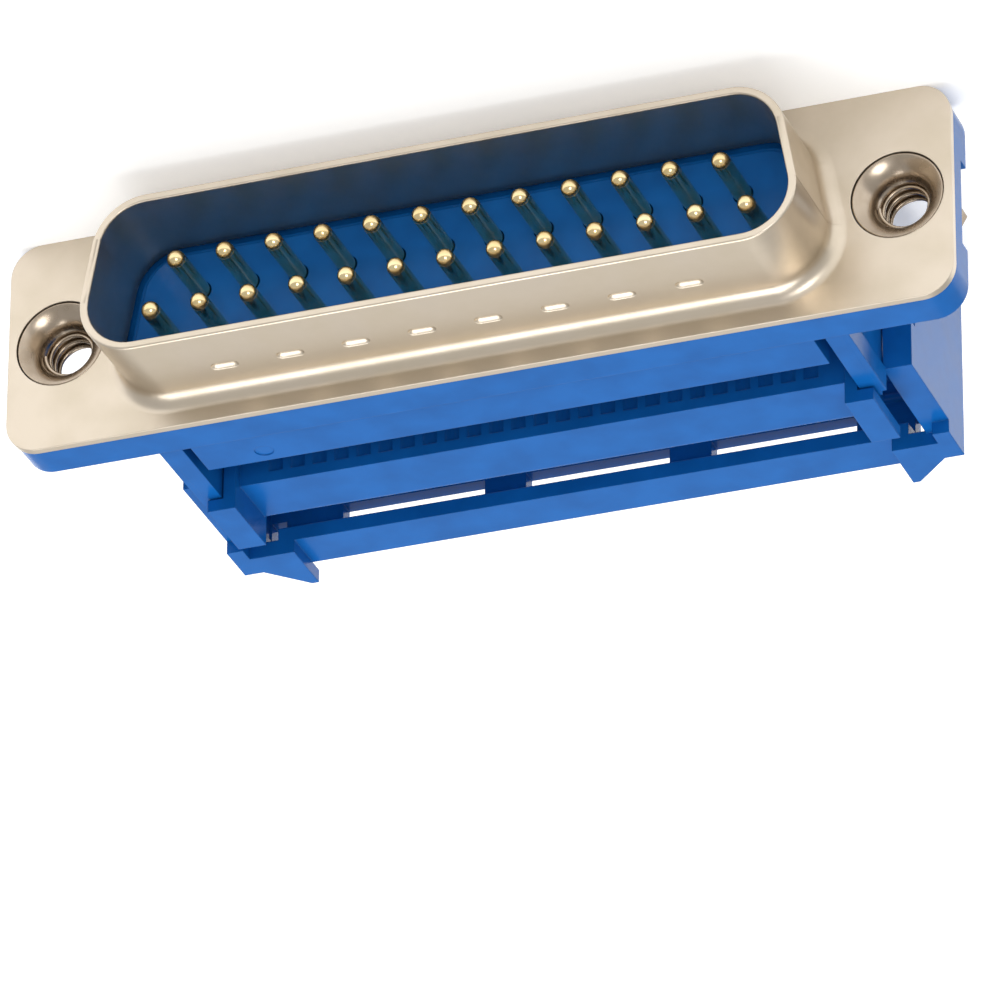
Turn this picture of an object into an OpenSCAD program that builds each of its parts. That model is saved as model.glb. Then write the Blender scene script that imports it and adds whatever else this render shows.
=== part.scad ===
// A 25-way D-subminiature plug for flat ribbon cable. A drawn metal shell is clinched to a blue
// moulded housing by two threaded inserts. Forked contacts pierce the cable when the cover is
// pressed home, and a strain relief straddles both ends of the housing behind the cover.
// It is drawn open, ready for its cable, and lying on the narrow row's side.
// Every sub-part is written in the face frame: x along the connector, y across it with the
// narrow row at +y, and z the mating direction, with the front of the flange at z = 0.

/* [Pin field] */
// Distance between two pins of one row
pin_pitch = 2.77; // [2.7:0.01:2.84]
// Distance between the two rows
row_gap = 2.84; // [2.7:0.02:3.1]
// Distance between two conductors of the flat cable
cable_pitch = 1.27; // [1.24:0.01:1.3]

/* [Metal shell] */
// Thickness of the drawn sheet
sheet_t = 0.45; // [0.35:0.05:0.6]
// From an end pin of the wide row to the inside of the shroud
shroud_side_room = 2.86; // [2.7:0.02:3.2]
// Inside height of the shroud
shroud_h = 8.36; // [8.2:0.02:8.8]
// Lean of the shroud's two short sides, in degrees
shroud_lean = 10; // [6:1:14]
// Radius inside the shroud's corners
shroud_r = 2.6; // [2.2:0.1:2.9]
// How far the shroud stands out of the flange
shroud_depth = 5.9; // [5.2:0.1:6.5]
// Radius of the bend where the shroud leaves the flange
bend_r = 0.9; // [0.5:0.1:1]
// Rounding of the two edges of the shroud's rim
rim_round = 0.12; // [0.06:0.02:0.16]
// Height of the flange
flange_h = 12.55; // [12.2:0.05:13.2]
// Flange beyond the axis of each threaded insert
flange_end = 3; // [2.9:0.1:3.6]
// Radius of the flange's corners
flange_r = 1.8; // [1:0.1:2.6]
// Dimples along the wide side of the shroud
dimple_count = 8; // [2:1:9]
// Distance between two dimples
dimple_pitch = 3.7; // [3.2:0.1:4]
// How far the dimples' centres stand in front of the flange
dimple_height = 2.5; // [2.1:0.1:3.6]
// Radius of a dimple's rounded hollow
dimple_r = 0.45; // [0.35:0.05:0.6]
// Depth of a dimple in the sheet
dimple_depth = 0.16; // [0.1:0.02:0.2]
// Straight part of a dimple between its round ends
dimple_straight = 0.85; // [0.5:0.05:1.4]

/* [Threaded inserts] */
// From the inside of the shroud to the axis of each insert, across the wide row
insert_offset = 4.04; // [3.9:0.02:4.6]
// Radius of the flare that clinches the flange
flare_r = 2.5; // [2.4:0.05:2.6]
// Depth of the flare's rounded mouth
flare_depth = 0.8; // [0.6:0.05:0.9]
// Radius of the barrel through the housing
barrel_r = 2.05; // [1.85:0.05:2.15]
// Radius of the threaded bore, to the tips of the thread
thread_r = 1.18; // [1.1:0.01:1.3]
// Radius of the chamfer at each end of the thread
thread_mouth_r = 1.45; // [1.4:0.05:1.6]
// Width across the flats of the hexagonal head
hex_af = 4.76; // [4.6:0.02:4.84]
// Height of the hexagonal head
hex_h = 1.7; // [1.2:0.1:1.8]

/* [Housing] */
// Thickness of the plate behind the flange
plate_t = 2.3; // [2.1:0.05:2.6]
// How far the plate's edge lies inside the flange's edge
plate_inset = 0.07; // [0.04:0.01:0.2]
// Plate left under the head of each insert
seat_t = 1.4; // [1.2:0.05:1.5]
// How far the face between the pins stands in front of the flange
face_h = 0.4; // [0.2:0.05:0.6]
// Width of the low ledge round that face
face_ledge = 0.35; // [0.2:0.05:0.5]
// How far the ledge lies below the face
ledge_drop = 0.3; // [0.1:0.05:0.4]
// From the middle of an end fork to the end of the rear block
block_end = 2.3; // [2.2:0.02:2.8]
// How far the block's long sides lie inside the plate's
block_step = 0.8; // [0.6:0.05:0.9]
// Length of the block behind the plate
block_l = 4; // [3.8:0.05:4.1]
// Slit between the block and each tongue
slit_w = 0.56; // [0.4:0.02:0.7]
// Web that joins block and tongue beside the plate
slit_web = 0.95; // [0.6:0.05:1.4]
// Thickness of each end tongue
tongue_t = 1.3; // [1:0.05:1.5]
// Width of each end tongue
tongue_w = 10.6; // [10.2:0.05:10.7]
// Length of each end tongue behind the plate
tongue_l = 8.35; // [7.8:0.05:8.8]
// Depth of the channel on a tongue's outside, in which a leg slides
leg_sink = 0.35; // [0.2:0.05:0.4]
// How far the channel's rails stop short of the tongue's end
rail_lead = 0.4; // [0.3:0.05:0.6]
// Diameter of the gate mark on the block's long side
gate_d = 1.05; // [0.8:0.05:1.2]
// From the block's end to the middle of the gate mark
gate_end = 3.6; // [3.4:0.05:4]
// From the block's rear to the middle of the gate mark
gate_back = 1.05; // [0.9:0.05:1.3]
// Depth of the moulding marks
mark_depth = 0.06; // [0.03:0.01:0.1]

/* [Contacts] */
// Diameter of a pin
pin_d = 1.02; // [0.9:0.01:1.06]
// How far the pins stand in front of the flange
pin_height = 4.5; // [4:0.1:5]
// Thickness of the sheet of the contacts
blade_t = 0.3; // [0.25:0.01:0.4]
// Width of the shoulder behind the pin
shoulder_w = 1.2; // [1.1:0.02:1.3]
// Depth of the front of the shoulder behind the flange
shoulder_depth = 2.6; // [2.3:0.05:2.8]
// Length of the shoulder
shoulder_l = 1; // [0.7:0.05:1.1]
// Length over which the blade steps sideways to the cable's pitch
joggle_l = 1.4; // [1.1:0.05:1.5]
// Width of a fork
fork_w = 1.1; // [1:0.02:1.16]
// How far the forks stand behind the block
fork_reach = 2.1; // [1.8:0.05:2.2]
// Width of the slot that grips the wire
fork_slot_w = 0.25; // [0.2:0.01:0.32]
// Depth of that slot
fork_slot_l = 2.2; // [1.8:0.05:2.4]
// Distance between the two points of a fork
fork_point_gap = 0.72; // [0.6:0.02:0.8]
// Length of the slanted entry between the points
fork_entry_l = 0.45; // [0.3:0.05:0.6]

/* [Cover] */
// Gap between cover and block when the cover is pressed home
cable_room = 0.75; // [0.6:0.05:0.9]
// How far the cover stands open
cover_travel = 3.1; // [2.8:0.05:3.2]
// Thickness of the bar along the mating direction
bar_t = 3.95; // [3.6:0.05:4.1]
// Height of the bar
bar_h = 9; // [8:0.1:9.6]
// Rounding of the bar's rear edges
bar_round = 0.4; // [0.2:0.05:0.6]
// Thickness of the wall at each end of the bar
guide_wall = 0.7; // [0.5:0.05:0.9]
// Thickness of the lips that hold a tongue between them
guide_lip_t = 0.7; // [0.6:0.05:0.8]
// How far the lips reach beyond the end wall
guide_reach = 0.9; // [0.6:0.05:1]
// How far the end guides stand in front of the bar
guide_lead = 0.63; // [0.3:0.03:0.66]
// Depth of the pockets that take the forks
fork_pocket_l = 1.8; // [1.7:0.05:2]
// Radius of the grooves that take the wires
groove_r = 0.46; // [0.4:0.02:0.52]
// Depth of those grooves
groove_depth = 0.26; // [0.16:0.02:0.34]
// Plain edge of the bar beyond the ends of the grooves
groove_land = 0.65; // [0.4:0.05:0.9]

/* [Strain relief] */
// Thickness of each leg along the connector
leg_t = 1.6; // [1.4:0.05:1.6]
// Thickness of the plate on the outside of each leg
leg_plate_t = 0.8; // [0.6:0.05:0.9]
// Width of the strain relief
relief_w = 7.8; // [7.4:0.1:8.4]
// Thickness of its two long walls and of the legs' two lips
relief_wall = 0.85; // [0.7:0.05:0.95]
// How much of the tongues the open legs overlap
leg_overlap = 0.2; // [0.1:0.05:0.5]
// Length of the legs in front of the long walls
leg_l = 7.5; // [7.3:0.1:8]
// Length of the thick end of each leg
leg_toe_l = 1; // [0.8:0.05:1.6]
// Width of the notch in the leg's end
leg_notch_w = 2.5; // [2:0.1:3]
// Depth of that notch
leg_notch_l = 0.7; // [0.5:0.05:0.75]
// Depth of the long walls
trough_l = 2.8; // [2.6:0.05:3]
// How far the web lies behind the front of the long walls
web_back = 1.3; // [1.1:0.05:1.4]
// Thickness of the web
web_t = 1; // [0.8:0.05:1.1]
// Openings along each side of the web
slot_count = 3; // [1:1:4]
// Width of those openings
slot_w = 1.2; // [1:0.05:1.3]
// Distance of the openings' centres from the middle of the web
slot_y = 2.05; // [1.95:0.05:2.2]
// Web left between two openings
slot_rib = 2.4; // [1.6:0.1:3]
// From the inside of each leg to the nearest opening
slot_end = 4.3; // [4.1:0.05:5]
// Radius of the two ribs that press on the cable
rib_r = 0.28; // [0.2:0.02:0.34]
// Distance between those two ribs
rib_gap = 1.3; // [1:0.05:1.5]
// Width of the square holes beside the legs
corner_hole_w = 1.8; // [1.5:0.05:1.85]
// Length of the square holes along the connector
corner_hole_l = 0.9; // [0.7:0.05:1]
// Distance of the square holes' centres from the middle of the web
corner_hole_y = 2.85; // [2.8:0.05:2.9]
// Thickness of the ears on the long walls
ear_t = 0.75; // [0.5:0.05:0.9]
// Length of an ear along the connector
ear_l = 3.55; // [3.2:0.05:3.8]
// Step at the front of an ear
ear_step = 0.95; // [0.8:0.05:1.05]
// How far an ear's outer part stands in front of the long walls
ear_lead = 1.05; // [0.8:0.05:1.4]
// How far the straight ends reach behind the front of the long walls
end_straight = 1.7; // [1.5:0.05:1.9]
// Length of an ear's point behind the long walls
ear_point = 1; // [0.6:0.05:1.4]
// Width of an ear's point
ear_point_w = 0.4; // [0.3:0.05:0.6]

/* [Clearances] */
// Between pieces that slide on each other
slide_gap = 0.1; // [0.06:0.01:0.14]
// Round the contacts, the inserts and the face inside the shroud
fit_gap = 0.05; // [0.03:0.01:0.08]

/* [Hidden] */
$fn = 48;
CONTACTS = 25;
wide_row_pins = (CONTACTS + 1) / 2;
contact_names = [for (i = [1:CONTACTS]) str("contact_", i)];

steel = "#b9b4a8";
gold = "#d8ab4e";
blue = "#2a6ab8";
eps = 0.01;
seam = 0.3;

// Shroud: the centres of its four inner corners, from the wide right corner round
shroud_x = (wide_row_pins - 1) / 2 * pin_pitch + shroud_side_room;
wide_spine_x = shroud_x - shroud_r;
spine_y = shroud_h / 2 - shroud_r;
narrow_spine_x = wide_spine_x - 2 * spine_y * tan(shroud_lean);
spine = [
    [wide_spine_x, -spine_y],
    [narrow_spine_x, spine_y],
    [-narrow_spine_x, spine_y],
    [-wide_spine_x, -spine_y]
];
wall_r = shroud_r + sheet_t;

// Flange and inserts
insert_x = shroud_x + insert_offset;
flange_x = insert_x + flange_end;
plate_back = -sheet_t - plate_t;
seat_z = -sheet_t - seat_t;
hex_r = hex_af / 2 / cos(30);

// Rear of the housing
block_x = (CONTACTS - 1) / 2 * cable_pitch + block_end;
block_y = flange_h / 2 - plate_inset - block_step;
block_back = plate_back - block_l;
tongue_in = block_x + slit_w;
tongue_out = tongue_in + tongue_t;
tongue_back = plate_back - tongue_l;
rail_in = tongue_out - leg_sink;
web_z = plate_back - slit_web;

// Contacts
shoulder_z = -shoulder_depth;
joggle_z = shoulder_z - shoulder_l;
fork_z = joggle_z - joggle_l;
fork_tip = block_back - fork_reach;
pin_rear = shoulder_z - shoulder_l / 2;

// Cover
bar_front = block_back - cable_room - cover_travel;
bar_back = bar_front - bar_t;
guide_x = tongue_in - slide_gap;
bar_x = guide_x - guide_wall;
lip_y = tongue_w / 2 + slide_gap;

// Strain relief
leg_in = rail_in + slide_gap;
leg_out = leg_in + leg_t;
leg_front = tongue_back + leg_overlap;
trough_front = leg_front - leg_l;
trough_back = trough_front - trough_l;
web_front = trough_front - web_back;
web_rear = web_front - web_t;
end_back = trough_front - end_straight;
relief_y = relief_w / 2;
channel_y = relief_y - relief_wall;
slot_l = (2 * (leg_in - slot_end) - (slot_count - 1) * slot_rib) / slot_count;
chamfer = trough_front - end_straight - trough_back;

// From the face frame to the frame the connector lies in
module lay_down() {
    rotate([90, 180, 0]) children();
}

module both_ends() {
    children();
    mirror([1, 0, 0]) children();
}

module both_sides() {
    children();
    mirror([0, 1, 0]) children();
}

// A box from its two corners
module block(from, to) {
    translate(from) cube(to - from);
}

// Outline of a flat piece seen across the connector, pulled out from y = from to y = to
module across(from, to) {
    translate([0, to, 0]) rotate([90, 0, 0]) linear_extrude(to - from) children();
}

// Direction of the outside of the edge that leaves a corner, on a path that turns left
function side_angle(path, k) =
    let (a = path[k], b = path[(k + 1) % len(path)])
    atan2(b[1] - a[1], b[0] - a[0]) - 90;

function unit(angle) = [cos(angle), sin(angle)];

// Closed outline that keeps a distance r outside a path, with true arcs at the corners
module outline(path, r) {
    last = len(path) - 1;
    edge_points = [
        for (k = [0:last])
            for (p = [path[k], path[(k + 1) % len(path)]])
                p + r * unit(side_angle(path, k))
    ];
    polygon(edge_points);
    for (p = path) translate(p) circle(r);
}

function rectangle_path(x, y) = [[x, -y], [x, y], [-x, y], [-x, -y]];

module rounded_rectangle(w, h, r) {
    outline(rectangle_path(w / 2 - r, h / 2 - r), r);
}

// Carries a section round a path: the section's x is the distance outside the path, its y is z.
// A stretch that leans runs a seam's length into both corners, so that they fuse.
module sweep_round(path) {
    for (k = [0:len(path) - 1]) {
        before = side_angle(path, (k + len(path) - 1) % len(path));
        after = side_angle(path, k);
        turn = (after - before + 720) % 360;
        edge = path[(k + 1) % len(path)] - path[k];
        overrun = min(abs(edge[0]), abs(edge[1])) > 0 ? seam : 0;
        far_end = path[k] + edge * (1 + overrun / norm(edge));
        translate([path[k][0], path[k][1], 0])
            rotate_extrude(angle = turn, start = before) children();
        translate([far_end[0], far_end[1], 0])
            rotate([90, 0, after]) linear_extrude(norm(edge) + 2 * overrun) children();
    }
}

// Section through the drawn sheet: the bend out of the flange, the wall and the rounded rim
module drawn_section() {
    difference() {
        intersection() {
            translate([wall_r + bend_r, bend_r]) circle(bend_r + sheet_t);
            translate([shroud_r, -sheet_t]) square(bend_r + sheet_t);
        }
        translate([wall_r + bend_r, bend_r]) circle(bend_r);
    }
    translate([shroud_r, bend_r]) square([sheet_t, shroud_depth - rim_round - bend_r]);
    translate([shroud_r + rim_round, bend_r])
        square([sheet_t - 2 * rim_round, shroud_depth - bend_r]);
    for (x = [shroud_r + rim_round, wall_r - rim_round])
        translate([x, shroud_depth - rim_round]) circle(rim_round);
}

// A round bar with ball ends along x
module capsule(r, straight) {
    rotate([0, 90, 0]) cylinder(r = r, h = straight, center = true);
    for (side = [-1, 1]) translate([side * straight / 2, 0, 0]) sphere(r);
}

module at_dimples() {
    wall_y = -shroud_h / 2 - sheet_t;
    for (i = [0:dimple_count - 1])
        translate([
            (i - (dimple_count - 1) / 2) * dimple_pitch,
            wall_y - dimple_r + dimple_depth,
            dimple_height
        ]) children();
}

// Metal shell: flange and D-shaped shroud drawn from one sheet
module shell() {
    color(steel) lay_down() difference() {
        union() {
            translate([0, 0, -sheet_t]) linear_extrude(sheet_t) difference() {
                rounded_rectangle(2 * flange_x, flange_h, flange_r);
                outline(spine, wall_r + bend_r);
                both_ends() translate([insert_x, 0]) circle(flare_r + fit_gap);
            }
            sweep_round(spine) drawn_section();
            at_dimples() intersection() {
                capsule(dimple_r + sheet_t, dimple_straight);
                translate([0, dimple_r - dimple_depth + sheet_t / 2 + 1, 0]) cube([9, 2, 4], center = true);
            }
        }
        at_dimples() capsule(dimple_r, dimple_straight);
    }
}

// One contact's place: the odd ones sit in the wide row, the even ones between them
function contact_step(i) = i - (CONTACTS + 1) / 2;
function pin_x(i) = contact_step(i) * pin_pitch / 2;
function fork_x(i) = contact_step(i) * cable_pitch;
function row_y(i) = (i % 2 == 1 ? -1 : 1) * row_gap / 2;

// Outline of a contact's blade behind the pin, grown by a gap and cut off at a depth
module blade_outline(i, gap, back) {
    shoulder = shoulder_w / 2 + gap;
    fork = fork_w / 2 + gap;
    polygon([
        [pin_x(i) - shoulder, shoulder_z + gap],
        [pin_x(i) - shoulder, joggle_z],
        [fork_x(i) - fork, fork_z],
        [fork_x(i) - fork, back],
        [fork_x(i) + fork, back],
        [fork_x(i) + fork, fork_z],
        [pin_x(i) + shoulder, joggle_z],
        [pin_x(i) + shoulder, shoulder_z + gap]
    ]);
}

// What is cut out of the end of a fork: the entry, the slot and the two outer slants
module fork_cut() {
    point_x = fork_point_gap / 2;
    slot_x = fork_slot_w / 2;
    polygon([[-point_x, 0], [-slot_x, fork_entry_l], [slot_x, fork_entry_l], [point_x, 0]]);
    translate([-slot_x, 0]) square([fork_slot_w, fork_slot_l - slot_x]);
    translate([0, fork_slot_l - slot_x]) circle(slot_x);
    for (side = [-1, 1])
        polygon([
            [side * point_x, 0],
            [side * fork_w, 0],
            [side * fork_w, fork_entry_l],
            [side * fork_w / 2, fork_entry_l]
        ]);
}

// Contact i: a round pin with a ball tip, a blade and a fork that cuts into the wire
module contact(i) {
    color(gold) lay_down() {
        translate([pin_x(i), row_y(i), 0]) {
            translate([0, 0, pin_rear]) cylinder(d = pin_d, h = pin_height - pin_d / 2 - pin_rear);
            translate([0, 0, pin_height - pin_d / 2]) sphere(d = pin_d);
        }
        across(row_y(i) - blade_t / 2, row_y(i) + blade_t / 2) difference() {
            blade_outline(i, 0, fork_tip);
            translate([fork_x(i), fork_tip]) fork_cut();
        }
    }
}

// The room that contact i takes in the housing
module contact_cavity(i) {
    translate([pin_x(i), row_y(i), pin_rear - fit_gap])
        cylinder(d = pin_d + 2 * fit_gap, h = face_h - pin_rear + 1);
    across(row_y(i) - blade_t / 2 - fit_gap, row_y(i) + blade_t / 2 + fit_gap)
        blade_outline(i, fit_gap, block_back - 1);
}

// Blue moulding, end tongue: a plain strip along the end of the block
module tongue() {
    block([tongue_in, -tongue_w / 2, tongue_back], [rail_in, tongue_w / 2, web_z]);
}

// Blue moulding, rail along one edge of a tongue: the strain relief's leg slides between two
module rail() {
    y = relief_y + slide_gap;
    block([rail_in, y, tongue_back + rail_lead], [tongue_out, tongue_w / 2, web_z]);
}

module tongue_left() {
    color(blue) lay_down() tongue();
}

module tongue_right() {
    color(blue) lay_down() mirror([1, 0, 0]) tongue();
}

module rail_left_top() {
    color(blue) lay_down() mirror([0, 1, 0]) rail();
}

module rail_left_foot() {
    color(blue) lay_down() rail();
}

module rail_right_top() {
    color(blue) lay_down() mirror([1, 0, 0]) mirror([0, 1, 0]) rail();
}

module rail_right_foot() {
    color(blue) lay_down() mirror([1, 0, 0]) rail();
}

// Blue moulding, front: plate behind the flange and insulator in the shroud
module housing() {
    color(blue) lay_down() difference() {
        union() {
            translate([0, 0, plate_back]) linear_extrude(plate_t)
                rounded_rectangle(2 * (flange_x - plate_inset), flange_h - 2 * plate_inset, flange_r - plate_inset);
            translate([0, 0, -sheet_t - eps]) linear_extrude(sheet_t + face_h - ledge_drop + eps)
                outline(spine, shroud_r - fit_gap);
            translate([0, 0, -sheet_t - eps]) linear_extrude(sheet_t + face_h + eps)
                outline(spine, shroud_r - fit_gap - face_ledge);
        }
        for (i = [1:CONTACTS]) contact_cavity(i);
        both_ends() {
            translate([insert_x, 0, -sheet_t - plate_t - 1]) cylinder(r = barrel_r + fit_gap, h = plate_t + 2);
            translate([insert_x, 0, -flare_depth - fit_gap]) cylinder(r = flare_r + fit_gap, h = 1);
            block(
                [insert_x - hex_r - fit_gap, -hex_af / 2 - 2 * fit_gap, plate_back - 1],
                [flange_x + 1, hex_af / 2 + 2 * fit_gap, seat_z]
            );
        }
    }
}

// Blue moulding, rear: block round the contacts, and the webs that carry the tongues
module contact_block() {
    color(blue) lay_down() difference() {
        union() {
            block([-block_x, -block_y, block_back], [block_x, block_y, plate_back]);
            block([-tongue_out, -tongue_w / 2, web_z], [tongue_out, tongue_w / 2, plate_back]);
        }
        for (i = [1:CONTACTS]) contact_cavity(i);
        translate([gate_end - block_x, -block_y + mark_depth, block_back + gate_back]) rotate([90, 0, 0])
            cylinder(d = gate_d, h = 1);
    }
}

// Half section of an insert's flared mouth and barrel
module insert_section() {
    hex_back = seat_z - hex_h;
    mouth = thread_mouth_r - thread_r;
    difference() {
        union() {
            translate([flare_r, -flare_depth]) intersection() {
                circle(flare_depth);
                translate([-flare_depth, 0]) square(flare_depth);
            }
            translate([thread_r, hex_back]) square([barrel_r - thread_r, -flare_depth - hex_back]);
            translate([flare_r - flare_depth, -flare_depth - eps]) square([barrel_r - flare_r + flare_depth, eps]);
        }
        polygon([
            [thread_r, hex_back + mouth],
            [thread_r - mouth, hex_back - mouth],
            [thread_mouth_r + mouth, hex_back - mouth]
        ]);
        polygon([
            [thread_r, -flare_depth - mouth],
            [thread_r - mouth, -flare_depth + mouth],
            [thread_mouth_r + mouth, -flare_depth + mouth]
        ]);
    }
}

// Threaded insert: flared over the flange in front, with a hexagonal head in the plate behind
module insert(x) {
    hex_back = seat_z - hex_h;
    color(steel) lay_down() translate([x, 0, 0]) {
        rotate_extrude() insert_section();
        difference() {
            translate([0, 0, hex_back]) cylinder(r = hex_r, h = hex_h, $fn = 6);
            translate([0, 0, hex_back - 1]) cylinder(r = (barrel_r + thread_mouth_r) / 2, h = hex_h + 2);
        }
    }
}

module insert_left() {
    insert(insert_x);
}

module insert_right() {
    insert(-insert_x);
}

// Cover: a bar that presses the cable on the forks, with a guide at each end
module cover() {
    pocket_w = fork_w + 2 * slide_gap;
    pocket_t = blade_t + 4 * slide_gap;
    color(blue) lay_down() difference() {
        union() {
            rotate([90, 0, 90]) translate([0, 0, -bar_x - eps]) linear_extrude(2 * bar_x + 2 * eps) {
                bar_y = bar_h / 2;
                translate([-bar_y, bar_back + bar_round]) square([bar_h, bar_t - bar_round]);
                translate([-bar_y + bar_round, bar_back]) square([bar_h - 2 * bar_round, bar_t]);
                for (side = [-1, 1])
                    translate([side * (bar_y - bar_round), bar_back + bar_round]) circle(bar_round);
            }
            both_ends() {
                block(
                    [bar_x, -lip_y - guide_lip_t, bar_back],
                    [guide_x, lip_y + guide_lip_t, bar_front + guide_lead]
                );
                both_sides() block(
                    [guide_x - eps, lip_y, bar_back],
                    [guide_x + guide_reach, lip_y + guide_lip_t, bar_front + guide_lead]
                );
            }
        }
        for (i = [1:CONTACTS]) {
            translate([fork_x(i), row_y(i), bar_front - fork_pocket_l / 2 + 0.5])
                cube([pocket_w, pocket_t, fork_pocket_l + 1], center = true);
            translate([fork_x(i), 0, bar_front + groove_r - groove_depth]) rotate([90, 0, 0])
                cylinder(r = groove_r, h = bar_h - 2 * groove_land, center = true);
        }
    }
}

// Half side view of the strain relief's long wall, with its slanted end
module trough_outline() {
    polygon([
        [0, trough_front],
        [leg_out, trough_front],
        [leg_out, end_back],
        [leg_out - chamfer, end_back],
        [leg_out - 2 * chamfer, trough_back],
        [0, trough_back]
    ]);
}

// Side view of an ear: stepped in front, slanted and pointed behind
module ear_outline() {
    ear_in = leg_out - ear_l;
    ear_back = trough_back - ear_point;
    polygon([
        [ear_in, trough_front],
        [leg_out - ear_step, trough_front],
        [leg_out - ear_step, trough_front + ear_lead],
        [leg_out, trough_front + ear_lead],
        [leg_out, end_back],
        [leg_out - chamfer, end_back],
        [ear_in + ear_point_w, ear_back],
        [ear_in, ear_back]
    ]);
}

module leg() {
    toe_back = leg_front - leg_toe_l;
    difference() {
        block([leg_in, -relief_y, trough_front - eps], [leg_out, relief_y, leg_front]);
        block([leg_in - 1, -channel_y, web_front], [leg_out - leg_plate_t, channel_y, toe_back]);
        block([leg_in - 1, -leg_notch_w / 2, leg_front - leg_notch_l], [leg_out + 1, leg_notch_w / 2, leg_front + 1]);
    }
}

// Strain relief: a trough across the rear with a leg at each end
module strain_relief() {
    color(blue) lay_down() difference() {
        union() {
            both_ends() {
                both_sides() {
                    across(channel_y, relief_y) trough_outline();
                    across(relief_y - eps, relief_y + ear_t) ear_outline();
                }
                leg();
                block([leg_in - eps, -channel_y - eps, end_back], [leg_out, channel_y + eps, trough_front]);
                block([-eps, -channel_y - eps, web_rear], [leg_out - chamfer, channel_y + eps, web_front]);
            }
            for (side = [-1, 1]) translate([0, side * rib_gap / 2, web_front]) rotate([0, 90, 0])
                cylinder(r = rib_r, h = 2 * leg_in, center = true);
        }
        both_ends() both_sides() {
            translate([leg_in - corner_hole_l / 2 - slide_gap, corner_hole_y, web_front])
                cube([corner_hole_l, corner_hole_w, 2 * web_t + 2], center = true);
        }
        both_sides() {
            for (k = [0:slot_count - 1])
                translate([(k - (slot_count - 1) / 2) * (slot_l + slot_rib), slot_y, (web_front + web_rear) / 2])
                    cube([slot_l, slot_w, web_t + 1], center = true);
        }
    }
}

shell();
housing();
contact_block();
tongue_left();
tongue_right();
rail_left_top();
rail_left_foot();
rail_right_top();
rail_right_foot();
for (i = [1:CONTACTS])
    contact(i);
insert_left();
insert_right();
cover();
strain_relief();
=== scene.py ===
"""Dresses a 25-way D-subminiature ribbon-cable plug and sets it in a pale studio.

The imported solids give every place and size. The metal shell, the three blue mouldings, the
contacts and the threaded inserts get rounded edges, ball ends, threads and procedural finishes
here.
"""
import logging
import math
from dataclasses import dataclass
from enum import Enum

import bmesh
import bpy
from mathutils import Matrix, Vector


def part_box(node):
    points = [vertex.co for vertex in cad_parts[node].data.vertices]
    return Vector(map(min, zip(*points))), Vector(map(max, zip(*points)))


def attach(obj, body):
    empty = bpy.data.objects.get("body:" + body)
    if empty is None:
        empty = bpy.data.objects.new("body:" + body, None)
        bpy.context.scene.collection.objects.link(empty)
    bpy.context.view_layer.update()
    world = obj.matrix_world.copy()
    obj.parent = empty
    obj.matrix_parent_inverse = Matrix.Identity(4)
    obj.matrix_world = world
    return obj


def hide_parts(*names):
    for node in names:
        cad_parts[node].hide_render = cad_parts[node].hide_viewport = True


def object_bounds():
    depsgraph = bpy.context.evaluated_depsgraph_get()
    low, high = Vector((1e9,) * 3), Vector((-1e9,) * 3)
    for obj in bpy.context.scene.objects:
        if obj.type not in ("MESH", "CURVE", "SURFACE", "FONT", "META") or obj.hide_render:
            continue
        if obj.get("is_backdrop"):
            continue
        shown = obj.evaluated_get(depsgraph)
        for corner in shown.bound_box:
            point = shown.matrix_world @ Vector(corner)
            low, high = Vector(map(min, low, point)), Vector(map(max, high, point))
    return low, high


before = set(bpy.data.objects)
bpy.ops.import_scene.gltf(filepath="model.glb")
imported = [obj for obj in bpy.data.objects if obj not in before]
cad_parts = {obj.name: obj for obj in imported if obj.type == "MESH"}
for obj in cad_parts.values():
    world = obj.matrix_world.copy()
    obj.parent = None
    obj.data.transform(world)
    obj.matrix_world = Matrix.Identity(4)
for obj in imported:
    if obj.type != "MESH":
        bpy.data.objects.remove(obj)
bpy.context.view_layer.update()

MM = 0.001
# Corners of a solid's loose triangles that lie closer than this are one corner.
MERGE_MM = 0.0001
# Rays by which the shader rounds an edge.
EDGE_SAMPLES = 6
# The colour mix node's sockets, which share their names with its other types' and go by number.
MIX_SHARE, MIX_FIRST, MIX_SECOND, MIX_COLOUR = 0, 6, 7, 2
LOG = logging.getLogger("plug")


class Body(Enum):
    """The rigid bodies that the pieces ride on."""

    CONNECTOR = "connector"
    COVER = "cover"
    STRAIN_RELIEF = "strain_relief"


class Slot(Enum):
    """The record's material slots."""

    SHELL = "shell_metal"
    INSERT = "insert_metal"
    CONTACT = "contact_gold"
    PLASTIC = "blue_plastic"


def linear(hex_colour: str) -> tuple[float, float, float, float]:
    """Turns an sRGB hex colour into the linear colour that a shader takes.

    Args:
        hex_colour: A colour such as "#3c78bf".

    Returns:
        Red, green, blue and an alpha of one.
    """
    channels = [int(hex_colour[i:i + 2], 16) / 255 for i in (1, 3, 5)]
    curve = [c / 12.92 if c <= 0.04045 else ((c + 0.055) / 1.055) ** 2.4 for c in channels]
    return (curve[0], curve[1], curve[2], 1.0)


def add_node(tree: bpy.types.NodeTree, kind: str, settings: dict | None = None,
             links: dict | None = None) -> bpy.types.Node:
    """Adds one node with its settings and its incoming links.

    Args:
        tree: The tree that gets the node.
        kind: The node's type.
        settings: Properties by name, or input values by socket name or number.
        links: Output sockets by the name or number of the input that each feeds.

    Returns:
        The new node.
    """
    node = tree.nodes.new(kind)
    for name, value in (settings or {}).items():
        if isinstance(name, str) and hasattr(node, name):
            setattr(node, name, value)
        else:
            node.inputs[name].default_value = value
    for name, socket in (links or {}).items():
        tree.links.new(socket, node.inputs[name])
    return node


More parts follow.
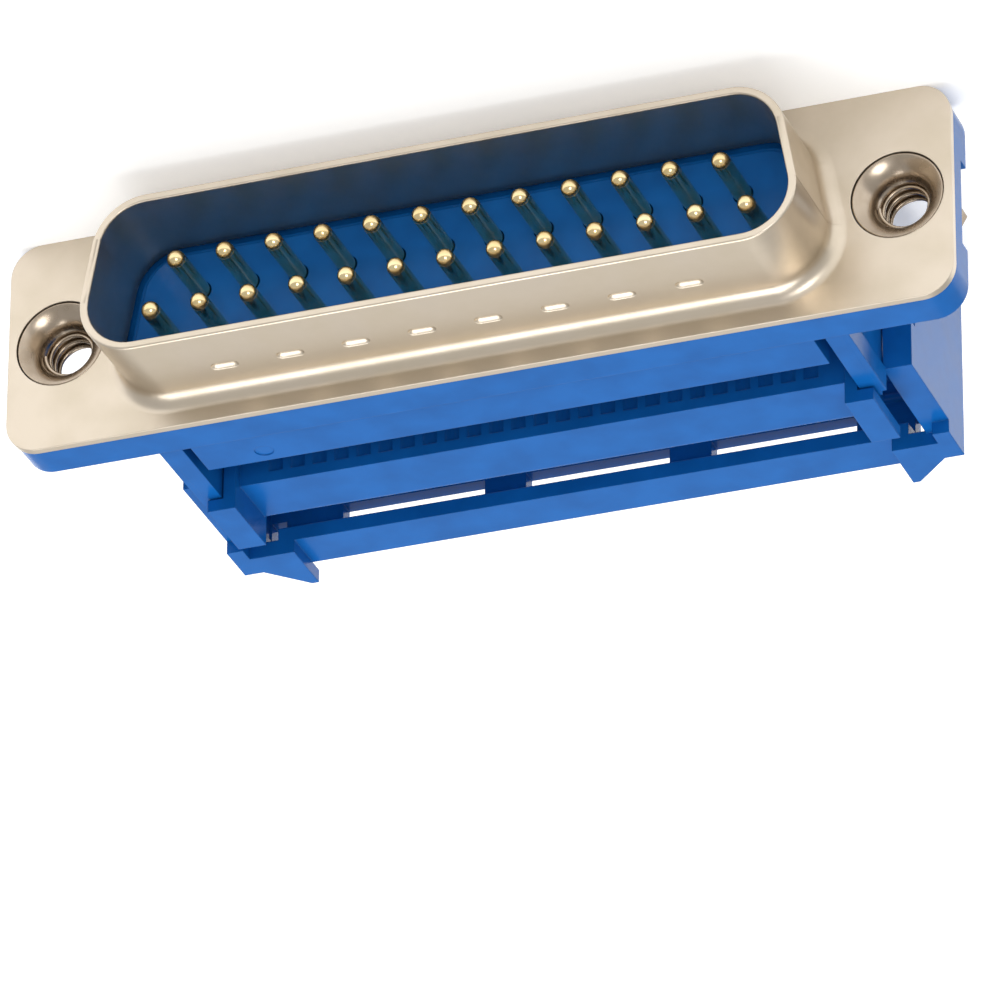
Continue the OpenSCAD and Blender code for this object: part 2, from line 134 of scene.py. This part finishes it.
def two_tones(tree: bpy.types.NodeTree, pattern: bpy.types.NodeSocket, span: tuple[float, float],
              colours: tuple[str, str]) -> bpy.types.NodeSocket:
    """Blends two colours by a pattern.

    Args:
        tree: The material's tree.
        pattern: The pattern's value.
        span: The values at which the first colour ends and the second is full.
        colours: The two hex colours.

    Returns:
        The blended colour's socket.
    """
    share = add_node(tree, "ShaderNodeMapRange", {"From Min": span[0], "From Max": span[1]},
                     {"Value": pattern})
    mix = add_node(tree, "ShaderNodeMix",
                   {"data_type": "RGBA", MIX_FIRST: linear(colours[0]), MIX_SECOND: linear(colours[1])},
                   {MIX_SHARE: share.outputs["Result"]})
    return mix.outputs[MIX_COLOUR]


def relief(tree: bpy.types.NodeTree, height: bpy.types.NodeSocket, strength: float, depth_mm: float,
           edge_mm: float) -> bpy.types.NodeSocket:
    """Gives a surface a fine relief, and its edges a small rounding that catches the light.

    Args:
        tree: The material's tree.
        height: The relief's pattern.
        strength: How much of the relief shows.
        depth_mm: The relief's depth.
        edge_mm: The radius of the rounded edges.

    Returns:
        The normal's socket.
    """
    edge = add_node(tree, "ShaderNodeBevel", {"samples": EDGE_SAMPLES, "Radius": edge_mm * MM})
    bump = add_node(tree, "ShaderNodeBump", {"Strength": strength, "Distance": depth_mm * MM},
                    {"Height": height, "Normal": edge.outputs["Normal"]})
    return bump.outputs["Normal"]


@dataclass(frozen=True)
class Finish:
    """What every finish shares: a name and a way to start its material."""

    name: str

    def begin(self) -> tuple[bpy.types.NodeTree, bpy.types.Node, bpy.types.NodeSocket]:
        """Starts a material.

        Returns:
            The tree, its principled shader and the Object coordinates.
        """
        material = bpy.data.materials.new(self.name)
        material.use_nodes = True
        tree = material.node_tree
        tree.nodes.clear()
        shader = add_node(tree, "ShaderNodeBsdfPrincipled")
        add_node(tree, "ShaderNodeOutputMaterial", links={"Surface": shader.outputs["BSDF"]})
        place = add_node(tree, "ShaderNodeTexCoord")
        return tree, shader, place.outputs["Object"]

    def done(self) -> bpy.types.Material:
        """Returns the material that begin() started."""
        return bpy.data.materials[self.name]


@dataclass(frozen=True)
class MouldedPlastic(Finish):
    """Blue glass-filled polyester, moulded in a polished tool.

    The eye gets a deep, even blue under a glossy skin, with thin bright lines where edges are
    rounded by the tool.
    """

    colour: str = "#1060ac"
    deep_colour: str = "#0d58a0"
    ior: float = 1.5
    gloss: float = 0.14
    roughness: float = 0.22
    rough_less: float = 0.03
    rough_more: float = 0.04
    rough_span: tuple[float, float] = (0.3, 0.7)
    # The melt's flow shows as a slow drift of tone and gloss, a few millimetres across.
    flow_mm: float = 2.4
    flow_detail: float = 3.0
    flow_span: tuple[float, float] = (0.35, 0.65)
    # The skin's faint unevenness, drawn a few times coarser than the real one so that it shows.
    grain_mm: float = 0.16
    grain_detail: float = 2.0
    grain_depth_mm: float = 0.02
    grain_strength: float = 0.04
    edge_mm: float = 0.09

    def build(self) -> bpy.types.Material:
        """Builds the material.

        Returns:
            A glossy plastic with soft colour drift, a faint skin and rounded edges.
        """
        tree, shader, place = self.begin()
        flow = add_node(tree, "ShaderNodeTexNoise",
                        {"Scale": 1 / (self.flow_mm * MM), "Detail": self.flow_detail}, {"Vector": place})
        tone = two_tones(tree, flow.outputs["Fac"], self.flow_span, (self.deep_colour, self.colour))
        grain = add_node(tree, "ShaderNodeTexNoise",
                         {"Scale": 1 / (self.grain_mm * MM), "Detail": self.grain_detail}, {"Vector": place})
        normal = relief(tree, grain.outputs["Fac"], self.grain_strength, self.grain_depth_mm, self.edge_mm)
        rough = add_node(tree, "ShaderNodeMapRange",
                         {"From Min": self.rough_span[0], "From Max": self.rough_span[1],
                          "To Min": self.roughness - self.rough_less,
                          "To Max": self.roughness + self.rough_more},
                         {"Value": flow.outputs["Fac"]})
        shader.inputs["IOR"].default_value = self.ior
        shader.inputs["Specular IOR Level"].default_value = self.gloss
        tree.links.new(tone, shader.inputs["Base Color"])
        tree.links.new(rough.outputs["Result"], shader.inputs["Roughness"])
        tree.links.new(normal, shader.inputs["Normal"])
        return self.done()


@dataclass(frozen=True)
class PlatedMetal(Finish):
    """Plated metal: an almost even tone, and the fine lines of rolling, drawing or turning.

    The eye gets soft, slightly streaked reflections of the studio and bright lines on edges. The
    lines are drawn a few times coarser than real ones, so that they show.
    """

    colour: str = "#d0c4b3"
    shade: str = "#c8bca9"
    roughness: float = 0.28
    rough_drift: float = 0.03
    rough_span: tuple[float, float] = (0.3, 0.7)
    # Plating is never quite even: its tone and gloss drift over some millimetres.
    mottle_mm: float = 3.0
    mottle_detail: float = 4.0
    mottle_span: tuple[float, float] = (0.3, 0.62)
    # Lines run along the sheet where they are stretched, and are a fine mottle where they aren't.
    line_mm: float = 0.09
    line_detail: float = 3.0
    line_stretch: float = 18.0
    line_depth_mm: float = 0.0012
    line_strength: float = 0.3
    edge_mm: float = 0.08

    def build(self) -> bpy.types.Material:
        """Builds the material.

        Returns:
            A metal whose tone and gloss drift a little, with drawn-out fine lines.
        """
        tree, shader, place = self.begin()
        mottle = add_node(tree, "ShaderNodeTexNoise",
                          {"Scale": 1 / (self.mottle_mm * MM), "Detail": self.mottle_detail},
                          {"Vector": place})
        tone = two_tones(tree, mottle.outputs["Fac"], self.mottle_span, (self.shade, self.colour))
        stretched = add_node(tree, "ShaderNodeMapping",
                             {"Scale": (1 / self.line_stretch, 1.0, 1.0)}, {"Vector": place})
        lines = add_node(tree, "ShaderNodeTexNoise",
                         {"Scale": 1 / (self.line_mm * MM), "Detail": self.line_detail},
                         {"Vector": stretched.outputs["Vector"]})
        normal = relief(tree, lines.outputs["Fac"], self.line_strength, self.line_depth_mm, self.edge_mm)
        rough = add_node(tree, "ShaderNodeMapRange",
                         {"From Min": self.rough_span[0], "From Max": self.rough_span[1],
                          "To Min": self.roughness + self.rough_drift,
                          "To Max": self.roughness - self.rough_drift},
                         {"Value": mottle.outputs["Fac"]})
        shader.inputs["Metallic"].default_value = 1.0
        tree.links.new(tone, shader.inputs["Base Color"])
        tree.links.new(rough.outputs["Result"], shader.inputs["Roughness"])
        tree.links.new(normal, shader.inputs["Normal"])
        return self.done()


@dataclass(frozen=True)
class StudioPaper(Finish):
    """Matt white paper that stays white to the camera and in reflections, and keeps its shadow."""

    colour: str = "#f4f4f4"
    roughness: float = 0.9
    lift: float = 0.3

    def build(self) -> bpy.types.Material:
        """Builds the material.

        Returns:
            Diffuse paper with a lift that only the camera and reflections see.
        """
        tree, shader, _ = self.begin()
        shader.inputs["Base Color"].default_value = linear(self.colour)
        shader.inputs["Roughness"].default_value = self.roughness
        shader.inputs["Specular IOR Level"].default_value = 0.0
        shader.inputs["Emission Color"].default_value = (1.0, 1.0, 1.0, 1.0)
        path = add_node(tree, "ShaderNodeLightPath")
        direct = add_node(tree, "ShaderNodeMath", {"operation": "MAXIMUM"},
                          {0: path.outputs["Is Camera Ray"], 1: path.outputs["Is Glossy Ray"]})
        seen = add_node(tree, "ShaderNodeMath", {"operation": "MAXIMUM"},
                        {0: direct.outputs[0], 1: path.outputs["Is Transmission Ray"]})
        lift = add_node(tree, "ShaderNodeMath", {"operation": "MULTIPLY", 1: self.lift},
                        {0: seen.outputs[0]})
        tree.links.new(lift.outputs[0], shader.inputs["Emission Strength"])
        return self.done()


def linked(name: str, mesh: bpy.types.Mesh) -> bpy.types.Object:
    """Makes an object of a mesh, at the origin, and links it to the scene.

    Args:
        name: The new object's name.
        mesh: Its mesh.

    Returns:
        The linked object.
    """
    piece = bpy.data.objects.new(name, mesh)
    bpy.context.scene.collection.objects.link(piece)
    return piece


def baked(piece: bpy.types.Object) -> bpy.types.Object:
    """Turns a piece's modifiers into a plain mesh and removes them.

    Args:
        piece: The piece.

    Returns:
        The same object.
    """
    bpy.context.view_layer.update()
    evaluated = piece.evaluated_get(bpy.context.evaluated_depsgraph_get())
    mesh = bpy.data.meshes.new_from_object(evaluated)
    piece.modifiers.clear()
    piece.data = mesh
    mesh.name = piece.name
    return piece


def merged(*nodes: str) -> bmesh.types.BMesh:
    """Joins the solids' triangles into one mesh, with doubled corners merged.

    Args:
        *nodes: The solids' names.

    Returns:
        The joined mesh, which the caller frees.
    """
    work = bmesh.new()
    for node in nodes:
        part = bmesh.new()
        part.from_mesh(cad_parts[node].data)
        bmesh.ops.remove_doubles(part, verts=part.verts, dist=MERGE_MM * MM)
        flat = bpy.data.meshes.new(node)
        part.to_mesh(flat)
        part.free()
        work.from_mesh(flat)
        bpy.data.meshes.remove(flat)
    return work


def smoothed(work: bmesh.types.BMesh, name: str, angle_deg: float) -> bpy.types.Object:
    """Shades a mesh smooth up to an angle between faces and makes an object of it.

    Args:
        work: The mesh, which is freed here.
        name: The new piece's name.
        angle_deg: Edges with a larger angle stay sharp.

    Returns:
        The piece, at the origin.
    """
    for face in work.faces:
        face.smooth = True
    for edge in work.edges:
        edge.smooth = len(edge.link_faces) == 2 and edge.calc_face_angle(0.0) < math.radians(angle_deg)
    mesh = bpy.data.meshes.new(name)
    work.to_mesh(mesh)
    work.free()
    piece = linked(name, mesh)
    normals = piece.modifiers.new("normals", "WEIGHTED_NORMAL")
    normals.keep_sharp = True
    return baked(piece)


def socket_in(tree: bpy.types.NodeTree, name: str, kind: str) -> str:
    """Adds a named input to a geometry tree.

    Args:
        tree: The geometry tree.
        name: The input's name.
        kind: The input's socket type.

    Returns:
        The identifier by which a modifier sets it.
    """
    return tree.interface.new_socket(name, in_out="INPUT", socket_type=kind).identifier


def grown(name: str, points: list[Vector], tree: bpy.types.NodeTree,
          values: dict[str, object]) -> bpy.types.Object:
    """Grows a piece from points by a geometry tree and makes it a plain mesh.

    Args:
        name: The new piece's name.
        points: Where the tree sets its instances.
        tree: The geometry tree.
        values: What each input gets, by the socket's identifier.

    Returns:
        The finished piece, at the origin.
    """
    mesh = bpy.data.meshes.new(name)
    mesh.from_pydata([tuple(p) for p in points], [], [])
    piece = linked(name, mesh)
    growth = piece.modifiers.new("growth", "NODES")
    growth.node_group = tree
    for identifier, value in values.items():
        growth[identifier] = value
    return baked(piece)


def finish_piece(piece: bpy.types.Object, material: bpy.types.Material, body: Body, slot: Slot,
                 *nodes: str) -> None:
    """Gives a piece its material and its body, and hides the solids that it stands for.

    Args:
        piece: The piece, in place.
        material: Its finish.
        body: The body that carries it.
        slot: Not used.
        *nodes: The solids that it replaces, if any.
    """
    piece.data.materials.clear()
    piece.data.materials.append(material)
    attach(piece, body.value)
    if nodes:
        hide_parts(*nodes)
    LOG.info("%s rides on %s", piece.name, body.value)


@dataclass
class BlueMouldings:
    """The housing with its tongues, the cover and the strain relief, all of one glossy blue plastic."""

    finish: MouldedPlastic = MouldedPlastic("moulded_blue_polyester")
    smooth_deg: float = 30.0
    # One real moulding, which the solids split into plain ones that touch face to face.
    housing_nodes: tuple[str, ...] = (
        "housing", "contact_block", "tongue_left", "tongue_right",
        "rail_left_top", "rail_left_foot", "rail_right_top", "rail_right_foot")

    def build(self) -> None:
        """Dresses the three mouldings."""
        material = self.finish.build()
        for name, body, nodes in (
                ("housing_moulding", Body.CONNECTOR, self.housing_nodes),
                ("cover_moulding", Body.COVER, ("cover",)),
                ("strain_relief_moulding", Body.STRAIN_RELIEF, ("strain_relief",))):
            piece = smoothed(merged(*nodes), name, self.smooth_deg)
            finish_piece(piece, material, body, Slot.PLASTIC, *nodes)


@dataclass
class MetalShell:
    """The drawn shell of tin-plated steel sheet."""

    finish: PlatedMetal = PlatedMetal("tin_plated_sheet", roughness=0.36)
    smooth_deg: float = 32.0

    def build(self) -> None:
        """Dresses the shell."""
        piece = smoothed(merged("shell"), "drawn_shell", self.smooth_deg)
        finish_piece(piece, self.finish.build(), Body.CONNECTOR, Slot.SHELL, "shell")


@dataclass
class Contacts:
    """The 25 gold-plated contacts: ball-ended pins in two rows, and their forked blades."""

    count: int = 25
    # Ahead of this depth a contact is a plain round pin, which reaches back past it by the overlap.
    pin_back_mm: float = -0.6
    overlap_mm: float = 0.4
    pin_sides: int = 32
    smooth_deg: float = 30.0
    finish: PlatedMetal = PlatedMetal("gold_plate", colour="#efdcae", shade="#e6cb92", roughness=0.2,
                                      mottle_mm=1.0, line_stretch=1.0, line_depth_mm=0.0006, edge_mm=0.04)

    def pin_tree(self) -> tuple[bpy.types.NodeTree, dict[str, str]]:
        """Builds the tree that sets one ball-ended pin on each point.

        Returns:
            The tree, and the identifier of each named input.
        """
        tree = bpy.data.node_groups.new("pin_field", "GeometryNodeTree")
        tree.interface.new_socket("Geometry", in_out="OUTPUT", socket_type="NodeSocketGeometry")
        keys = {name: socket_in(tree, name, kind) for name, kind in (
            ("Geometry", "NodeSocketGeometry"), ("Pin Radius", "NodeSocketFloat"),
            ("Pin Length", "NodeSocketFloat"), ("Finish", "NodeSocketMaterial"))}
        given = add_node(tree, "NodeGroupInput").outputs
        shaft = add_node(tree, "GeometryNodeMeshCylinder", {"Vertices": self.pin_sides},
                         {"Radius": given["Pin Radius"], "Depth": given["Pin Length"]})
        round_side = add_node(tree, "GeometryNodeSetShadeSmooth", None,
                              {"Geometry": shaft.outputs["Mesh"], "Selection": shaft.outputs["Side"]})
        half = add_node(tree, "ShaderNodeMath", {"operation": "MULTIPLY", 1: -0.5},
                        {0: given["Pin Length"]})
        back = add_node(tree, "ShaderNodeCombineXYZ", None, {"Z": half.outputs[0]})
        set_back = add_node(tree, "GeometryNodeTransform", None,
                            {"Geometry": round_side.outputs[0], "Translation": back.outputs[0]})
        ball = add_node(tree, "GeometryNodeMeshUVSphere",
                        {"Segments": self.pin_sides, "Rings": self.pin_sides // 2},
                        {"Radius": given["Pin Radius"]})
        round_ball = add_node(tree, "GeometryNodeSetShadeSmooth", None, {"Geometry": ball.outputs["Mesh"]})
        pin = add_node(tree, "GeometryNodeJoinGeometry", None, {0: set_back.outputs[0]})
        tree.links.new(round_ball.outputs[0], pin.inputs[0])
        laid = add_node(tree, "GeometryNodeTransform", {"Rotation": (math.pi / 2, 0.0, 0.0)},
                        {"Geometry": pin.outputs[0]})
        field = add_node(tree, "GeometryNodeInstanceOnPoints", None,
                         {"Points": given["Geometry"], "Instance": laid.outputs[0]})
        real = add_node(tree, "GeometryNodeRealizeInstances", None, {0: field.outputs[0]})
        gold = add_node(tree, "GeometryNodeSetMaterial", None,
                        {"Geometry": real.outputs[0], "Material": given["Finish"]})
        add_node(tree, "NodeGroupOutput", None, {0: gold.outputs[0]})
        return tree, keys

    def build_pins(self, nodes: list[str], material: bpy.types.Material) -> None:
        """Sets a ball-ended pin where each contact's round front end is.

        Args:
            nodes: The contacts' names.
            material: Their finish.
        """
        centres, tips, radius = [], [], 0.0
        for node in nodes:
            ahead = [v.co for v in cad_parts[node].data.vertices if v.co.y < self.pin_back_mm * MM]
            xs, zs = [c.x for c in ahead], [c.z for c in ahead]
            radius = (max(zs) - min(zs)) / 2
            tips.append(min(c.y for c in ahead))
            centres.append(Vector(((min(xs) + max(xs)) / 2, 0.0, (min(zs) + max(zs)) / 2)))
        front = min(tips) + radius
        points = [Vector((c.x, front, c.z)) for c in centres]
        tree, keys = self.pin_tree()
        length = self.pin_back_mm * MM + self.overlap_mm * MM - front
        pins = grown("gold_pins", points, tree, {keys["Pin Radius"]: radius, keys["Pin Length"]: length,
                                                 keys["Finish"]: material})
        finish_piece(pins, material, Body.CONNECTOR, Slot.CONTACT)

    def build_blades(self, nodes: list[str], material: bpy.types.Material) -> None:
        """Dresses what stands behind the pins: shoulders, joggles and forked blades.

        Args:
            nodes: The contacts' names.
            material: Their finish.
        """
        work = merged(*nodes)
        ahead = [f for f in work.faces if all(v.co.y < self.pin_back_mm * MM for v in f.verts)]
        bmesh.ops.delete(work, geom=ahead, context="FACES")
        blades = smoothed(work, "gold_blades", self.smooth_deg)
        finish_piece(blades, material, Body.CONNECTOR, Slot.CONTACT, *nodes)

    def build(self) -> None:
        """Builds the pins and the blades of all contacts."""
        material = self.finish.build()
        nodes = [f"contact_{i}" for i in range(1, self.count + 1)]
        self.build_pins(nodes, material)
        self.build_blades(nodes, material)


@dataclass
class ThreadedInserts:
    """The two nickel-plated inserts: funnel flare, threaded bore and hexagonal head."""

    pitch_mm: float = 0.635
    bore_mm: float = 1.42
    tip_mm: float = 1.2
    thread_start_mm: float = 1.15
    thread_length_mm: float = 2.2
    turn_sides: int = 40
    ridge_sides: int = 8
    segments: int = 96
    flats: int = 6
    smooth_deg: float = 28.0
    # Radius and depth behind the flange's face, from the bore's mouth round the outside to the back.
    funnel_mm: tuple[tuple[float, float], ...] = (
        (1.42, 1.25), (1.46, 1.02), (1.56, 0.78), (1.72, 0.55), (1.92, 0.36), (2.14, 0.2), (2.32, 0.09),
        (2.42, 0.05), (2.48, 0.07), (2.5, 0.14), (2.5, 0.36), (2.05, 0.8), (2.05, 1.88))
    head_mm: tuple[tuple[float, float], ...] = ((2.75, 1.88), (2.75, 3.45), (2.66, 3.54))
    back_mm: tuple[tuple[float, float], ...] = ((1.62, 3.54), (1.42, 3.36))
    finish: PlatedMetal = PlatedMetal("nickel_plate", colour="#b3a594", shade="#a39482", roughness=0.26,
                                      mottle_mm=1.2, line_stretch=1.0, edge_mm=0.05)

    def body(self, x: float, name: str) -> bpy.types.Object:
        """Turns the insert's section round its axis, with six flats on the head.

        Args:
            x: Where its axis lies, in metres.
            name: The new piece's name.

        Returns:
            The turned piece.
        """
        ring = ([(r, y, False) for r, y in self.funnel_mm] + [(r, y, True) for r, y in self.head_mm]
                + [(r, y, False) for r, y in self.back_mm])
        half_flat = math.pi / self.flats
        work = bmesh.new()
        rows = []
        for k in range(self.segments):
            angle = 2 * math.pi * k / self.segments
            in_flat = math.cos(half_flat) / math.cos(angle % (2 * half_flat) - half_flat)
            row = []
            for radius_mm, depth_mm, on_head in ring:
                radius = radius_mm * MM * (in_flat if on_head else 1.0)
                row.append(work.verts.new((x + radius * math.cos(angle), depth_mm * MM,
                                           radius * math.sin(angle))))
            rows.append(row)
        for k, row in enumerate(rows):
            after = rows[(k + 1) % self.segments]
            for j in range(len(ring)):
                n = (j + 1) % len(ring)
                work.faces.new((row[j], row[n], after[n], after[j]))
        bmesh.ops.recalc_face_normals(work, faces=work.faces)
        return smoothed(work, name, self.smooth_deg)

    def thread_tree(self) -> tuple[bpy.types.NodeTree, dict[str, str]]:
        """Builds the tree that winds a thread round each point's axis.

        Returns:
            The tree, and the identifier of each named input.
        """
        tree = bpy.data.node_groups.new("thread", "GeometryNodeTree")
        tree.interface.new_socket("Geometry", in_out="OUTPUT", socket_type="NodeSocketGeometry")
        keys = {name: socket_in(tree, name, kind) for name, kind in (
            ("Geometry", "NodeSocketGeometry"), ("Crest Radius", "NodeSocketFloat"),
            ("Ridge Radius", "NodeSocketFloat"), ("Turns", "NodeSocketFloat"),
            ("Length", "NodeSocketFloat"), ("Finish", "NodeSocketMaterial"))}
        given = add_node(tree, "NodeGroupInput").outputs
        middle = add_node(tree, "ShaderNodeMath", {"operation": "ADD"},
                          {0: given["Crest Radius"], 1: given["Ridge Radius"]})
        helix = add_node(tree, "GeometryNodeCurveSpiral", {"Resolution": self.turn_sides},
                         {"Rotations": given["Turns"], "Start Radius": middle.outputs[0],
                          "End Radius": middle.outputs[0], "Height": given["Length"]})
        ridge = add_node(tree, "GeometryNodeCurvePrimitiveCircle", {"Resolution": self.ridge_sides},
                         {"Radius": given["Ridge Radius"]})
        swept = add_node(tree, "GeometryNodeCurveToMesh", {"Fill Caps": True},
                         {"Curve": helix.outputs[0], "Profile Curve": ridge.outputs[0]})
        smooth = add_node(tree, "GeometryNodeSetShadeSmooth", None, {"Geometry": swept.outputs[0]})
        laid = add_node(tree, "GeometryNodeTransform", {"Rotation": (-math.pi / 2, 0.0, 0.0)},
                        {"Geometry": smooth.outputs[0]})
        pair = add_node(tree, "GeometryNodeInstanceOnPoints", None,
                        {"Points": given["Geometry"], "Instance": laid.outputs[0]})
        real = add_node(tree, "GeometryNodeRealizeInstances", None, {0: pair.outputs[0]})
        nickel = add_node(tree, "GeometryNodeSetMaterial", None,
                          {"Geometry": real.outputs[0], "Material": given["Finish"]})
        add_node(tree, "NodeGroupOutput", None, {0: nickel.outputs[0]})
        return tree, keys

    def build(self) -> None:
        """Turns both inserts and winds their threads."""
        material = self.finish.build()
        points = []
        for side in ("left", "right"):
            low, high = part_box(f"insert_{side}")
            x = (low[0] + high[0]) / 2
            piece = self.body(x, f"threaded_insert_{side}")
            finish_piece(piece, material, Body.CONNECTOR, Slot.INSERT, f"insert_{side}")
            points.append(Vector((x, self.thread_start_mm * MM, 0.0)))
        tree, keys = self.thread_tree()
        threads = grown("insert_threads", points, tree, {
            keys["Crest Radius"]: self.tip_mm * MM,
            keys["Ridge Radius"]: (self.bore_mm - self.tip_mm) / 2 * MM,
            keys["Turns"]: self.thread_length_mm / self.pitch_mm,
            keys["Length"]: self.thread_length_mm * MM,
            keys["Finish"]: material})
        finish_piece(threads, material, Body.CONNECTOR, Slot.INSERT)


@dataclass(frozen=True)
class Lamp:
    """A square lamp that faces the object."""

    name: str
    place_m: tuple[float, float, float]
    side_m: float
    watts: float

    def build(self) -> None:
        """Sets the lamp up."""
        data = bpy.data.lights.new(self.name, "AREA")
        data.size = self.side_m
        data.energy = self.watts
        lamp = bpy.data.objects.new(self.name, data)
        lamp.location = self.place_m
        lamp.rotation_euler = (-Vector(self.place_m)).to_track_quat("-Z", "Y").to_euler()
        bpy.context.scene.collection.objects.link(lamp)


@dataclass
class Studio:
    """A pale floor, a soft white sky, a large lamp overhead and two weak ones behind and in front."""

    floor_m: float = 3.0
    paper: StudioPaper = StudioPaper("white_paper")
    sky: float = 0.62
    lamps: tuple[Lamp, ...] = (
        Lamp("top_softbox", (0.1, 0.15, 0.75), 0.7, 4.6),
        Lamp("back_softbox", (0.3, 0.8, 0.42), 0.6, 0.2),
        Lamp("front_fill", (-0.18, -0.5, 0.28), 0.2, 0.8))

    def build_floor(self) -> None:
        """Lays the floor under the object's lowest point."""
        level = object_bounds()[0][2]
        half = self.floor_m / 2
        corners = [(-half, -half, level), (half, -half, level), (half, half, level), (-half, half, level)]
        mesh = bpy.data.meshes.new("studio_floor")
        mesh.from_pydata(corners, [], [(0, 1, 2, 3)])
        floor = linked("studio_floor", mesh)
        floor.data.materials.append(self.paper.build())
        floor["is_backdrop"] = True

    def build_sky(self) -> None:
        """Lights the scene evenly from all round."""
        world = bpy.data.worlds.new("studio_sky")
        world.use_nodes = True
        sky = world.node_tree.nodes["Background"]
        sky.inputs["Color"].default_value = (1.0, 1.0, 1.0, 1.0)
        sky.inputs["Strength"].default_value = self.sky
        bpy.context.scene.world = world

    def build(self) -> None:
        """Makes the floor, the sky and the lamps."""
        self.build_floor()
        self.build_sky()
        for lamp in self.lamps:
            lamp.build()


@dataclass(frozen=True)
class Viewpoint:
    """The camera: a long lens, turned over, because the plug lies on its narrow row's side."""

    target_mm: tuple[float, float, float] = (0.55, 5.88, 10.70)
    distance_mm: float = 468.59
    azimuth_deg: float = -20.30
    elevation_deg: float = 28.06
    roll_deg: float = 180.27
    lens_mm: float = 319.9
    seen_from_m: float = 0.01
    seen_to_m: float = 10.0

    def build(self) -> None:
        """Makes the camera and hands it to the scene."""
        azimuth, elevation = math.radians(self.azimuth_deg), math.radians(self.elevation_deg)
        back = Vector((math.sin(azimuth) * math.cos(elevation),
                       -math.cos(azimuth) * math.cos(elevation),
                       math.sin(elevation)))
        right = Vector((0.0, 0.0, 1.0)).cross(back).normalized()
        upright = Matrix((right, back.cross(right), back)).transposed().to_4x4()
        data = bpy.data.cameras.new("view")
        data.lens = self.lens_mm
        data.clip_start = self.seen_from_m
        data.clip_end = self.seen_to_m
        camera = bpy.data.objects.new("view", data)
        place = (Vector(self.target_mm) + back * self.distance_mm) * MM
        turn = Matrix.Rotation(math.radians(self.roll_deg), 4, "Z")
        camera.matrix_world = Matrix.Translation(place) @ upright @ turn
        bpy.context.scene.collection.objects.link(camera)
        bpy.context.scene.camera = camera


def main() -> None:
    """Builds the camera, the pieces and the studio."""
    logging.basicConfig(level=logging.INFO, format="%(message)s")
    Viewpoint().build()
    MetalShell().build()
    BlueMouldings().build()
    Contacts().build()
    ThreadedInserts().build()
    Studio().build()
    bpy.context.scene.view_settings.view_transform = "Standard"


if __name__ == "__main__":
    main()
